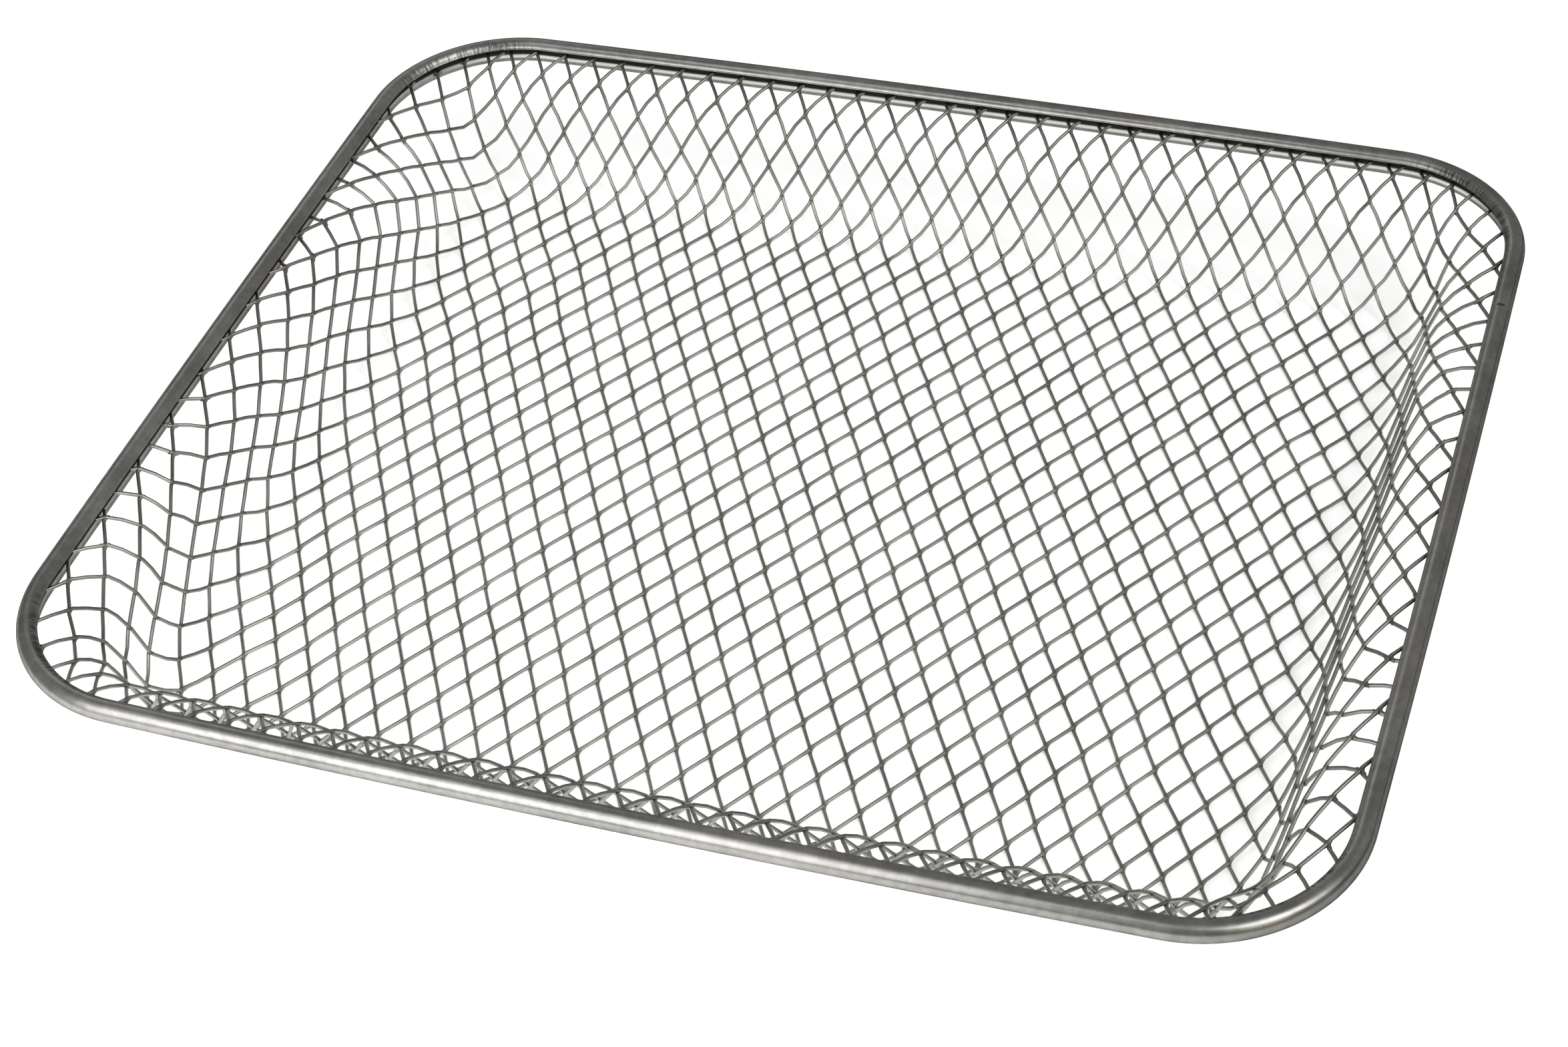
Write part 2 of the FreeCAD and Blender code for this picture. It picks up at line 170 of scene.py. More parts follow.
@dataclass
class Bowl:
    """The net's mid-surface: a level brim, a flare, a sloping wall, a foot bend and a flat floor.

    Args:
        rim: The line that the bowl hangs from.
        rim_height: The rim's centreline above the underside.
        entry: The net below the rim's centreline where it enters the rim.
        depth: The floor below the rim's centreline.
        slope: The walls' angle from the level, in degrees.
        toe: Where the wall's line meets the floor, in from the rim.
        flare: Radius of the outward bend at the top of the walls.
        foot: Radius of the bend between the walls and the floor.
    """

    rim: RimLine
    rim_height: float = 34.425
    entry: float = 0.8
    depth: float = 33.4
    slope: float = 70.0
    toe: float = 25.0
    flare: float = 17.1
    foot: float = 13.2

    def __post_init__(self) -> None:
        """Find where the profile's arcs start and end."""
        slope = math.radians(self.slope)
        self.tangent = math.tan(slope)
        self.brim = self.rim_height - self.entry
        self.floor = self.rim_height - self.depth
        wall_top = self.toe - (self.brim - self.floor) / self.tangent
        flare_leg = self.flare * math.tan(slope / 2)
        foot_leg = self.foot * math.tan(slope / 2)
        self.flare_start = wall_top - flare_leg
        self.flare_end = wall_top + flare_leg * math.cos(slope)
        self.foot_start = self.toe - foot_leg * math.cos(slope)
        self.foot_end = self.toe + foot_leg

    def height(self, x: float, y: float) -> float:
        """Return the height of the mid-surface at a plan position."""
        inset = self.rim.inset(x, y)
        if inset <= self.flare_start:
            return self.brim
        if inset < self.flare_end:
            return self.brim - self.flare + math.sqrt(self.flare**2 - (inset - self.flare_start) ** 2)
        if inset < self.foot_start:
            return self.floor + (self.toe - inset) * self.tangent
        if inset < self.foot_end:
            return self.floor + self.foot - math.sqrt(self.foot**2 - (self.foot_end - inset) ** 2)
        return self.floor

    def point(self, x: float, y: float) -> Vector:
        """Return the point of the mid-surface at a plan position."""
        return Vector((x, y, self.height(x, y)))

    def slopes(self, x: float, y: float, step: float) -> tuple[float, float]:
        """Return how fast the mid-surface rises along X and along Y."""
        rise_x = self.height(x + step, y) - self.height(x - step, y)
        rise_y = self.height(x, y + step) - self.height(x, y - step)
        return rise_x / (2 * step), rise_y / (2 * step)

    def normal(self, x: float, y: float) -> Vector:
        """Return the unit normal of the mid-surface, pointing into the bowl and up."""
        step = 0.05
        rise_x, rise_y = self.slopes(x, y, step)
        return Vector((-rise_x, -rise_y, 1)).normalized()


@dataclass
class Strand:
    """A line that becomes a wire: its stations and what moves each of them.

    Args:
        points: Stations on the mid-surface.
        normals: The surface's normal at each.
        lifts: How far each lies towards its own side of the mid-surface, from -1 to 1.
        shifts: How far each steps sideways in the surface, as a vector of up to unit length.
        knots: How near each is to a crossing, from 0 to 1.
    """

    points: list[Vector] = field(default_factory=list)
    normals: list[Vector] = field(default_factory=list)
    lifts: list[float] = field(default_factory=list)
    shifts: list[Vector] = field(default_factory=list)
    knots: list[float] = field(default_factory=list)

    def add(self, point: Vector, normal: Vector, lift: float, shift: Vector, knot: float) -> None:
        """Add one station."""
        self.points.append(point)
        self.normals.append(normal)
        self.lifts.append(lift)
        self.shifts.append(shift)
        self.knots.append(knot)


@dataclass
class Net:
    """A net of equal cells laid on the bowl, as woven cloth takes the shape when it is pressed in.

    Args:
        bowl: What it is pressed into.
        side: Wire length between neighbouring crossings.
        angles: Run of each family's seed wire from +X, in degrees.
        seed: Where the two seed wires cross, in plan.
        end_inset: Where a wire ends inside the rim.
        shortest_reach: A wire that never comes further in than this is left out.
        reach: Crossings counted each way from the seed.
        margin: How far past the rim the blank goes before it is trimmed.
        step_share: Share of a cell over which a wire steps sideways, on each side of a crossing.
        knot_share: Share of a cell over which a wire counts as near a crossing, on each side.
        wall_slip: How far the wires have slipped on an upright wall, where 1 is as on the floor.
        fillet_step: How far a fillet's ends step sideways, where 1 is as far as the wires do.
        fillet_knot: How near a crossing a fillet counts, from 0 to 1.
        steepest_rounded: Rise of the surface's normal below which crossings aren't rounded.
    """

    bowl: Bowl
    side: float = 9.37
    angles: tuple[float, float] = (59.8, 118.3)
    seed: tuple[float, float] = (-3.9, 8.1)
    end_inset: float = 1.75
    shortest_reach: float = 4.0
    reach: int = 40
    margin: float = 70.0
    step_share: float = 0.1
    knot_share: float = 0.13
    wall_slip: float = 0.5
    fillet_step: float = 0.8
    fillet_knot: float = 0.75
    steepest_rounded: float = 0.8
    crossings: dict[Crossing, Vector] = field(init=False, default_factory=dict)

    def __post_init__(self) -> None:
        """Lay the seed wires and fill the four quarters between them."""
        self._lay_seed_wires()
        for sign_i in (1, -1):
            for sign_j in (1, -1):
                self._fill_quarter(sign_i, sign_j)

    def _lay_seed_wires(self) -> None:
        """Lay the two wires through the seed crossing along the section at the bowl's middle."""
        step = 0.1
        runs = [0.0]
        for rung in range(1, int((self.bowl.rim.half_width + self.margin) / step)):
            rise = self.bowl.height(0, rung * step) - self.bowl.height(0, (rung - 1) * step)
            runs.append(runs[-1] + math.hypot(step, rise))
        seed_x, seed_y = self.seed
        seed_run = runs[int(seed_y / step)] + seed_y % step
        for n in range(-self.reach, self.reach + 1):
            for crossing, degrees in zip(((n, 0), (0, n)), self.angles):
                angle = math.radians(degrees)
                run = seed_run + n * self.side * math.sin(angle)
                if abs(run) < runs[-1]:
                    low = max(m for m in range(len(runs) - 1) if runs[m] <= abs(run))
                    share = (abs(run) - runs[low]) / (runs[low + 1] - runs[low])
                    x = seed_x + n * self.side * math.cos(angle)
                    y = math.copysign((low + share) * step, run)
                    self.crossings[crossing] = self.bowl.point(x, y)

    def _fill_quarter(self, sign_i: int, sign_j: int) -> None:
        """Find the crossings of one quarter, row by row away from the seed."""
        for i in range(1, self.reach + 1):
            for j in range(1, self.reach + 1):
                beside = self.crossings.get((sign_i * (i - 1), sign_j * j))
                before = self.crossings.get((sign_i * i, sign_j * (j - 1)))
                behind = self.crossings.get((sign_i * (i - 1), sign_j * (j - 1)))
                if beside and before and behind:
                    found = self._fourth_corner(beside, before, behind)
                    if found and self.bowl.rim.inset(found.x, found.y) > -self.margin:
                        self.crossings[sign_i * i, sign_j * j] = found

    def _fourth_corner(self, first: Vector, second: Vector, behind: Vector) -> Union[Vector, None]:
        """Return the point one cell side from two crossings, away from a third, if there is one."""
        start = first + second - behind
        x, y = start.x, start.y
        tries, slope_step, narrowest = 14, 0.02, 0.02
        longest_move, settled, worst_miss = 1.5, 1e-4, 0.2
        misses = [0.0, 0.0]
        for _ in range(tries):
            rise_x, rise_y = self.bowl.slopes(x, y, slope_step)
            here = self.bowl.point(x, y)
            ways = [here - first, here - second]
            misses = [way.length - self.side for way in ways]
            rows = [((w.x + w.z * rise_x) / w.length, (w.y + w.z * rise_y) / w.length) for w in ways]
            (ax, ay), (bx, by) = rows
            spread = ax * by - ay * bx
            if abs(spread) < narrowest:
                return None
            move_x = (misses[0] * by - misses[1] * ay) / spread
            move_y = (misses[1] * ax - misses[0] * bx) / spread
            longest = max(abs(move_x), abs(move_y))
            shrink = min(1.0, longest_move / longest) if longest > 0 else 1.0
            x -= move_x * shrink
            y -= move_y * shrink
            if longest < settled:
                return self.bowl.point(x, y)
        if abs(misses[0]) + abs(misses[1]) > worst_miss:
            return None
        return self.bowl.point(x, y)

    def _inside(self, point: Vector) -> bool:
        """Tell whether a point lies inside the rim, before the wires' ends."""
        return self.bowl.rim.inset(point.x, point.y) > self.end_inset

    def way(self, crossing: Crossing, along: int) -> Vector:
        """Return the direction of a family's wire through a crossing."""
        step = (1, 0) if along == 0 else (0, 1)
        ahead = self.crossings.get((crossing[0] + step[0], crossing[1] + step[1]))
        back = self.crossings.get((crossing[0] - step[0], crossing[1] - step[1]))
        here = self.crossings[crossing]
        return ((ahead or here) - (back or here)).normalized()

    def across(self, crossing: Crossing, family: Family) -> Vector:
        """Return the direction square to a wire at a crossing, towards where the other wire goes."""
        own = self.way(crossing, family.along)
        other = self.way(crossing, 1 - family.along)
        return (other - own * own.dot(other)).normalized()

    def strands(self, family: Family) -> list[Strand]:
        """Return every wire of a family, trimmed at the rim."""
        found = []
        for number in range(-self.reach, self.reach + 1):
            line = sorted(c for c in self.crossings if c[1 - family.along] == number)
            strand = Strand()
            for here, there in zip(line, line[1:]):
                self._add_cell(strand, here, there, family)
                ends = not self._inside(self.crossings[there])
                if ends and strand.points:
                    if max(self.bowl.rim.inset(p.x, p.y) for p in strand.points) > self.shortest_reach:
                        found.append(strand)
                    strand = Strand()
        return found

    def _add_cell(self, strand: Strand, here: Crossing, there: Crossing, family: Family) -> None:
        """Add the stations from one crossing up to the next, as far as they lie inside the rim.

        A wire steps to one side of its line just past a crossing, runs straight to the other side
        up to the next one, and steps back there.

        Args:
            strand: What they are added to.
            here: The first crossing.
            there: The next one.
            family: Whose wire it is.
        """
        start, end = self.crossings[here], self.crossings[there]
        if not self._inside(start) and not self._inside(end):
            return
        leave, arrive = self.across(here, family), self.across(there, family)
        early = [0.0, self.step_share / 2, self.step_share]
        shares = early + [0.5] + [1 - share for share in reversed(early[1:])]
        if self._inside(start) != self._inside(end):
            shares = sorted(shares + [self._trim(start, end)])
        for share in shares:
            place = start.lerp(end, share)
            if self._inside(place):
                point = self.bowl.point(place.x, place.y)
                near = min(share, 1 - share)
                jog = (1 - 2 * share) * min(1.0, near / self.step_share)
                knot = max(0.0, 1 - near / self.knot_share)
                normal = self.bowl.normal(place.x, place.y)
                step = leave.lerp(arrive, share) * jog * self.ease(normal)
                strand.add(point, normal, family.side, step, knot)

    def ease(self, normal: Vector) -> float:
        """Return how far the wires have slipped at a crossing: fully on the floor, less on walls."""
        return self.wall_slip + (1 - self.wall_slip) * max(0.0, normal.z) ** 2

    def _trim(self, start: Vector, end: Vector) -> float:
        """Return the share of a cell, just inside the rim, at which its wire ends."""
        low, high = (0.0, 1.0) if self._inside(start) else (1.0, 0.0)
        for _ in range(SEARCH_STEPS):
            middle = (low + high) / 2
            if self._inside(start.lerp(end, middle)):
                low = middle
            else:
                high = middle
        return low

    def fillets(self, family: Family, leg: float, steps: int) -> list[Strand]:
        """Return the rounding of the floor's crossings on their wide side ahead of one family.

        Args:
            family: The fillets run from this family's wires ahead of a crossing to the other
                family's wires behind it.
            leg: How far along the wires a fillet starts and ends.
            steps: How many runs it is divided into.

        Returns:
            One short line for each crossing.
        """
        found = []
        other = Family.WEFT if family is Family.WARP else Family.WARP
        for crossing, point in self.crossings.items():
            normal = self.bowl.normal(point.x, point.y)
            if normal.z < self.steepest_rounded or not self._inside(point):
                continue
            ahead = self.way(crossing, family.along) * leg * self.ease(normal)
            behind = self.way(crossing, other.along) * -leg * self.ease(normal)
            leave = self.across(crossing, family) * self.fillet_step
            arrive = self.across(crossing, other) * -self.fillet_step
            strand = Strand()
            for n in range(steps + 1):
                share = n / steps
                place = point + ahead * (1 - share) ** 2 + behind * share**2
                on_bowl = self.bowl.point(place.x, place.y)
                lift = family.side * (1 - 2 * share)
                strand.add(on_bowl, normal, lift, leave.lerp(arrive, share), self.fillet_knot)
            found.append(strand)
        return found


# Surfaces


class Tree:
    """A node tree, which is written one node at a time."""

    def __init__(self, tree: bpy.types.NodeTree) -> None:
        """Start writing in a tree."""
        self.tree = tree

    def add(self, kind: str, settings: dict, inputs: dict) -> bpy.types.Node:
        """Add one node.

        Args:
            kind: The node's type.
            settings: Properties of the node, set before its inputs.
            inputs: A value, or a socket to link, for each input by name or number.

        Returns:
            The node.
        """
        made = self.tree.nodes.new(kind)
        for name, value in settings.items():
            setattr(made, name, value)
        for name, value in inputs.items():
            self.feed(made.inputs[name], value)
        return made

    def node(
        self, kind: str, settings: dict, inputs: dict, output: Union[str, None] = None
    ) -> bpy.types.NodeSocket:
        """Add one node and return what it puts out.

        Args:
            kind: The node's type.
            settings: Properties of the node, set before its inputs.
            inputs: A value, or a socket to link, for each input by name or number.
            output: The name of the output that is wanted, if it isn't the first in use.

        Returns:
            That output.
        """
        made = self.add(kind, settings, inputs)
        if output is None:
            return next(socket for socket in made.outputs if socket.enabled)
        return made.outputs[output]

    def feed(self, socket: bpy.types.NodeSocket, value: object) -> None:
        """Link a value to an input or, if it is a constant, set it there."""
        if isinstance(value, Value):
            value = value.socket
        if isinstance(value, bpy.types.NodeSocket):
            self.tree.links.new(value, socket)
        elif isinstance(value, tuple) and len(value) == 3 and socket.type == "RGBA":
            socket.default_value = (*value, 1.0)
        else:
            socket.default_value = value


class Value:
    """A number in a node tree, with which sums are written as with any other."""

    def __init__(self, tree: Tree, socket: bpy.types.NodeSocket) -> None:
        """Wrap an output socket of a tree."""
        self.tree = tree
        self.socket = socket

    def _math(self, operation: str, *operands: "Number") -> "Value":
        """Return the result of one Math node, such as "ADD", on its operands in order."""
        inputs = dict(enumerate(operands))
        return Value(self.tree, self.tree.node("ShaderNodeMath", {"operation": operation}, inputs))

    def __add__(self, other: "Number") -> "Value":
        """Return this value plus another."""
        return self._math("ADD", self, other)

    def __radd__(self, other: "Number") -> "Value":
        """Return another value plus this one."""
        return self._math("ADD", other, self)

    def __sub__(self, other: "Number") -> "Value":
        """Return this value less another."""
        return self._math("SUBTRACT", self, other)

    def __rsub__(self, other: "Number") -> "Value":
        """Return another value less this one."""
        return self._math("SUBTRACT", other, self)

    def __mul__(self, other: "Number") -> "Value":
        """Return this value times another."""
        return self._math("MULTIPLY", self, other)

    def __rmul__(self, other: "Number") -> "Value":
        """Return another value times this one."""
        return self._math("MULTIPLY", other, self)

    def __abs__(self) -> "Value":
        """Return this value without its sign."""
        return self._math("ABSOLUTE", self)

    def __or__(self, other: "Value") -> "Value":
        """Return the larger of this value and another."""
        return self._math("MAXIMUM", self, other)

    def rise(self, low: float, high: float) -> "Value":
        """Return 0 at and before one value, 1 at and past another, and a smooth rise between."""
        inputs = {"Value": self, "From Min": low, "From Max": high}
        smooth = {"interpolation_type": "SMOOTHSTEP"}
        return Value(self.tree, self.tree.node("ShaderNodeMapRange", smooth, inputs))


Number = Union[float, Value]


class Finish(Tree):
    """The material of one kind of bare metal surface."""

    def __init__(self, name: str) -> None:
        """Start a material with a name as plain metal."""
        self.material = bpy.data.materials.new(name)
        self.material.use_nodes = True
        super().__init__(self.material.node_tree)
        self.shader = next(n for n in self.tree.nodes if n.type == "BSDF_PRINCIPLED")
        self.shader.inputs["Metallic"].default_value = 1.0

    def dress(self, **values: object) -> None:
        """Feed the shader's inputs, which are named with a low line for each space."""
        for name, value in values.items():
            self.feed(self.shader.inputs[name.replace("_", " ")], value)

    def attribute(self, name: str) -> Value:
        """Return a number that the mesh carries under a name."""
        return Value(self, self.node("ShaderNodeAttribute", {"attribute_name": name}, {}, "Fac"))

    def spot(self) -> tuple[Value, Value, Value]:
        """Return the place on the object, in metres along each axis."""
        where = self.node("ShaderNodeTexCoord", {}, {}, "Object")
        parts = (self.node("ShaderNodeSeparateXYZ", {}, {0: where}, axis) for axis in "XYZ")
        x, y, z = (Value(self, part) for part in parts)
        return x, y, z

    def run(self, stretch: float) -> bpy.types.NodeSocket:
        """Return the piece's own map, in metres along it and round it, drawn out along it."""
        where = self.node("ShaderNodeUVMap", {"uv_map": "run"}, {})
        factors = (1.0 / stretch, 1.0, 1.0)
        return self.node("ShaderNodeVectorMath", {"operation": "MULTIPLY"}, {0: where, 1: factors})

    def noise(
        self, per_metre: float, detail: float, where: Union[bpy.types.NodeSocket, None] = None
    ) -> Value:
        """Return noise that varies around one half.

        Args:
            per_metre: How fine it is.
            detail: How many finer layers it has.
            where: What it is read at, or the object's own coordinates if that is left out.

        Returns:
            The noise.
        """
        if where is None:
            where = self.node("ShaderNodeTexCoord", {}, {}, "Object")
        inputs = {"Vector": where, "Scale": per_metre, "Detail": detail}
        return Value(self, self.node("ShaderNodeTexNoise", {}, inputs))

    def mix(self, share: Number, first: object, second: object) -> bpy.types.NodeSocket:
        """Return a colour between two, by share of the second."""
        return self.node("ShaderNodeMix", {"data_type": "RGBA"}, {"Factor": share, 6: first, 7: second})

    def relief(self, height: Value, depth: float) -> bpy.types.NodeSocket:
        """Return the normal of a surface whose height varies by a depth in metres."""
        return self.node("ShaderNodeBump", {}, {"Strength": 1.0, "Distance": depth, "Height": height})


@dataclass(frozen=True)
class WireSteel:
    """Drawn wire, dulled to olive grey, with painted shade at the crossings and up the walls.

    Args:
        pale: Its colour where it is cleanest.
        dull: Its colour where it is dullest.
        knot: The painted shade at the crossings.
        painted_wall_shade: The painted shade on the walls, above a height.
        painted_wall_shade_rise: The heights between which the painted shade sets in, in metres.
    """

    pale: Colour = (0.50, 0.495, 0.46)
    dull: Colour = (0.31, 0.31, 0.278)
    knot: Colour = (0.16, 0.158, 0.128)
    painted_wall_shade: Colour = (0.15, 0.15, 0.13)
    painted_wall_shade_rise: tuple[float, float] = (0.003, 0.020)

    def material(self) -> bpy.types.Material:
        """Return the finished material."""
        finish = Finish("wire_steel")
        patches = finish.noise(55.0, 3.0).rise(0.36, 0.66)
        grain = finish.noise(900.0, 2.0)
        knot = finish.attribute("knot").rise(0.3, 1.0)
        _, _, height = finish.spot()
        colour = finish.mix(patches * 0.7 + grain * 0.3, self.dull, self.pale)
        # Painted shade, rising up the walls towards the rim.
        colour = finish.mix(height.rise(*self.painted_wall_shade_rise) * 0.45, colour, self.painted_wall_shade)
        finish.dress(
            # Painted shade where the wires cross.
            Base_Color=finish.mix(knot * 0.85, colour, self.knot),
            Roughness=patches * 0.10 + 0.34 + knot * 0.12,
            Normal=finish.relief(grain, 0.00002),
        )
        return finish.material


@dataclass(frozen=True)
class RimSteel:
    """Rolled strip: satin, drawn along, wrinkled at the corners; painted shade in slit and wrinkles.

    Args:
        pale: Its colour where it is cleanest.
        dull: Its colour where it is dullest.
        stain: The brown that heat has left in places.
        joint_and_painted_shade: The dark of the joint line, and painted shade in the slit, in the
            wrinkles and under the rim.
        painted_highlight: The painted highlight on a band of the hem at the back.
        joint: Where the ends of the strip meet, on the right side, in metres along Y.
        joint_span: The inner and outer end of the joint's line, in metres along X.
    """

    pale: Colour = (0.455, 0.455, 0.435)
    dull: Colour = (0.265, 0.27, 0.248)
    stain: Colour = (0.36, 0.31, 0.26)
    joint_and_painted_shade: Colour = (0.03, 0.03, 0.026)
    painted_highlight: Colour = (0.95, 0.94, 0.92)
    joint: float = 0.0825
    joint_span: tuple[float, float] = (0.1636, 0.1656)

    def material(self) -> bpy.types.Material:
        """Return the finished material."""
        finish = Finish("rim_steel")
        drawn = finish.noise(700.0, 3.0, finish.run(9.0))
        patches = finish.noise(38.0, 3.0).rise(0.38, 0.64)
        warm = finish.noise(14.0, 2.0).rise(0.52, 0.68)
        wrinkles = finish.noise(150.0, 2.0, finish.run(0.12)).rise(0.35, 0.65)
        wrinkles = wrinkles * finish.attribute("bend")
        joint = self._joint(finish)
        blotches = finish.noise(420.0, 3.0).rise(0.4, 0.62)
        shine = drawn * 0.35 + patches * 0.35 + blotches * 0.3
        colour = finish.mix(shine, self.dull, self.pale)
        colour = finish.mix(warm * 0.30, colour, self.stain)
        # Dark joint line, and painted shade in the creases of the wrinkles.
        colour = finish.mix(wrinkles * 0.7 + joint * 0.7, colour, self.joint_and_painted_shade)
        # Painted highlight on a band of the hem at the back.
        colour = finish.mix(finish.attribute("painted_highlight"), colour, self.painted_highlight)
        height = drawn * 0.25 + finish.noise(60.0, 2.0, finish.run(1.5)) - wrinkles * 0.8 - joint * 2.0
        finish.dress(
            Specular_Tint=(0.25, 0.25, 0.25),
            # Painted shade in the slit, under the rim and on its outer flank.
            Base_Color=finish.mix(finish.attribute("joint_and_painted_shade"), colour, self.joint_and_painted_shade),
            Roughness=drawn * 0.12 + patches * 0.06 + 0.25,
            Normal=finish.relief(height, 0.00006),
        )
        return finish.material

    def _joint(self, finish: Finish) -> Value:
        """Return 1 on the fine wavering line where the strip's ends meet, and 0 elsewhere."""
        waver, core, edge, fade = 0.0008, 0.00015, 0.0006, 0.0004
        x, y, _ = finish.spot()
        off_line = abs(y - self.joint + finish.noise(400.0, 1.0) * waver).rise(core, edge)
        inner, outer = self.joint_span
        past_inner = x.rise(inner - fade, inner + fade)
        past_outer = x.rise(outer - fade, outer + fade)
        return (1.0 - off_line) * past_inner * (1.0 - past_outer)


# Pieces


def ride_and_report(piece: bpy.types.Object, node: str) -> bpy.types.Object:
    """Let a piece stand for its node of the construction, and log what was made."""
    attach(piece, "root")
    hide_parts(node)
    piece.data.calc_loop_triangles()
    triangles = len(piece.data.loop_triangles)
    size = " x ".join(f"{length / MM:.1f}" for length in piece.dimensions)
    LOG.info("%s: %d triangles, %s mm", piece.name, triangles, size)
    return piece


@dataclass
class Rim:
    """The rim: a steel strip rolled into a bead, with a slit for the net's edge and a hem below.

    Args:
        line: The bead's centreline from above.
        height: The centreline above the underside.
        bead: Radius of the bead.
        lip_rise: The slit's upper lip above the centreline.
        strip: Radius of the strip's rounded edges.
        hem_outer: Outer face of the hem, in from the centreline.
        hem_inner: Inner face of the hem, in from the centreline.
        hem_drop: Lower edge of the hem below the centreline.
        hem_bulge: How far the hem's inner face swells between its edges.
        hem_unshaded: Lower and upper edge of the hem's band without painted shade, up from the
            centreline.
        hem_bright: Lower and upper edge of the hem's band with a painted highlight at the back.
        side_step: Distance between the sections on the sides.
        corner_step: Distance between the sections in the corners.
    """

    line: RimLine
    height: float = 34.425
    bead: float = 2.79
    lip_rise: float = 0.7
    strip: float = 0.24
    hem_outer: float = 0.5
    hem_inner: float = 1.05
    hem_drop: float = 4.3
    hem_bulge: float = 0.25
    hem_unshaded: tuple[float, float] = (-2.9, -1.75)
    hem_bright: tuple[float, float] = (-2.95, -1.95)
    side_step: float = 4.0
    corner_step: float = 1.1

    def section(self) -> list[tuple[float, float]]:
        """Return the section's outline: how far in from the centreline and how far up, clockwise."""
        points = []
        bead_runs, hem_runs = 34, 16
        root_blend = 4  # Degrees over which the bead runs into the hem's outer face

        def arc(
            centre: tuple[float, float], radius: float, start: float, end: float, runs: int
        ) -> None:
            """Add points on an arc between two angles in degrees, measured from inward and up."""
            for n in range(runs + 1):
                angle = math.radians(start + (end - start) * n / runs)
                x = centre[0] + radius * math.cos(angle)
                points.append((x, centre[1] + radius * math.sin(angle)))

        edge = self.strip
        lip_in = math.sqrt((self.bead - edge) ** 2 - (self.lip_rise + edge) ** 2)
        lip = (lip_in, self.lip_rise + edge)
        lip_angle = math.degrees(math.atan2(lip[1], lip[0]))
        arc(lip, edge, -90, lip_angle, 4)
        root_angle = 360 - math.degrees(math.acos(self.hem_outer / self.bead))
        arc((0, 0), self.bead, lip_angle, root_angle - root_blend, bead_runs)
        hem_edge = (self.hem_outer + self.hem_inner) / 2
        hem_round = (self.hem_inner - self.hem_outer) / 2
        arc((hem_edge, -self.hem_drop + hem_round), hem_round, 180, 360, 6)
        low, high = -self.hem_drop + hem_round, self.lip_rise - edge
        for n in range(1, hem_runs):
            share = n / hem_runs
            bulge = self.hem_bulge * math.sin(math.pi * share)
            points.append((self.hem_inner + bulge, low + (high - low) * share))
        arc((self.hem_inner + edge, self.lip_rise - edge), edge, 180, 90, 3)
        return points

    def _painted_shade(self, inward: float, up: float, outward: Vector) -> float:
        """Return the share of painted shade at a point: 1 in the slit, less under and beside the rim, 0
        on top.

        Args:
            inward: How far the point of the section lies in from the centreline.
            up: How far it lies above it.
            outward: Which way the rim faces there.

        Returns:
            The share of the painted shade's colour.
        """
        # Painted shade: darkest in the slit, lighter under the rim and on its outer flank, none on top.
        underside, flank, hem_edge, grain = 0.5, 0.55, 0.35, 0.01
        if inward < -0.3 * self.bead and up < -0.25 * self.bead:
            along_front = outward.y <= -0.9
            return 0.0 if along_front else underside
        if inward < -0.6 * self.bead and up < 0.8 * self.bead:
            return flank * max(0.0, outward.x)
        if inward > self.bead - 0.3 or up > self.lip_rise + self.strip / 2:
            return 0.0
        if inward < self.hem_inner - grain:
            return 0.0
        unshaded_from, unshaded_to = self.hem_unshaded
        if up < unshaded_to:
            return hem_edge if up < unshaded_from else 0.0
        return 1.0

    def _painted_highlight(self, inward: float, up: float, outward: Vector) -> float:
        """Return 1 on the band of the hem at the back that gets a painted highlight, and 0 elsewhere.
        """
        # A painted highlight on a band of the hem, strongest at the back.
        bright_from, bright_to = self.hem_bright
        at_back = max(0.0, min(1.0, (outward.y - 0.6) / 0.3))
        return at_back if inward > self.hem_inner and bright_from < up < bright_to else 0.0

    def _bend(self, inward: float, up: float, outward: Vector) -> float:
        """Return 1 on the inner side of a corner's middle, where the strip is wrinkled."""
        sharpness, first, width = 2.6, 0.3, 1.4
        turn = max(0.0, min(1.0, sharpness * min(abs(outward.x), abs(outward.y))))
        inner = max(0.0, min(1.0, (inward - first) / width))
        return turn * inner if inward > self.hem_inner and up > 0 else 0.0

    def build(self, steel: bpy.types.Material) -> bpy.types.Object:
        """Sweep the section round the centreline.

        Args:
            steel: The rim's material.

        Returns:
            The rim, in place.
        """
        section = self.section()
        stations = self.line.stations(self.side_step, self.corner_step)
        round_lengths = [0.0]
        for here, there in zip(section, section[1:] + section[:1]):
            round_lengths.append(round_lengths[-1] + math.dist(here, there))
        along_lengths = [0.0]
        for here, there in zip(stations, stations[1:] + stations[:1]):
            along_lengths.append(along_lengths[-1] + (there[0] - here[0]).length)
        vertices = []
        for place, outward in stations:
            for inward, up in section:
                spot = place - outward * inward
                vertices.append((spot.x * MM, spot.y * MM, (self.height + up) * MM))
        count = len(section)
        faces, corners = [], []
        for n in range(len(stations)):
            for m in range(count):
                square = ((n, m), (n, m + 1), (n + 1, m + 1), (n + 1, m))
                faces.append([(a % len(stations)) * count + b % count for a, b in square])
                corners += [(along_lengths[a] * MM, round_lengths[b] * MM) for a, b in square]
        mesh = bpy.data.meshes.new("rolled_rim_steel")
        mesh.from_pydata(vertices, [], faces)
        run = mesh.uv_layers.new(name="run")
        for loop, uv in zip(run.data, corners):
            loop.uv = uv
        # Shares of painted shade, painted highlight and wrinkling at each point of the section.
        measures = {"joint_and_painted_shade": self._painted_shade, "painted_highlight": self._painted_highlight, "bend": self._bend}
        for name, measure in measures.items():
            shares = [measure(inward, up, outward) for _, outward in stations for inward, up in section]
            mesh.attributes.new(name, "FLOAT", "POINT").data.foreach_set("value", shares)
        mesh.shade_smooth()
        mesh.materials.append(steel)
        piece = bpy.data.objects.new("rim", mesh)
        bpy.context.scene.collection.objects.link(piece)
        return ride_and_report(piece, "rolled_rim")


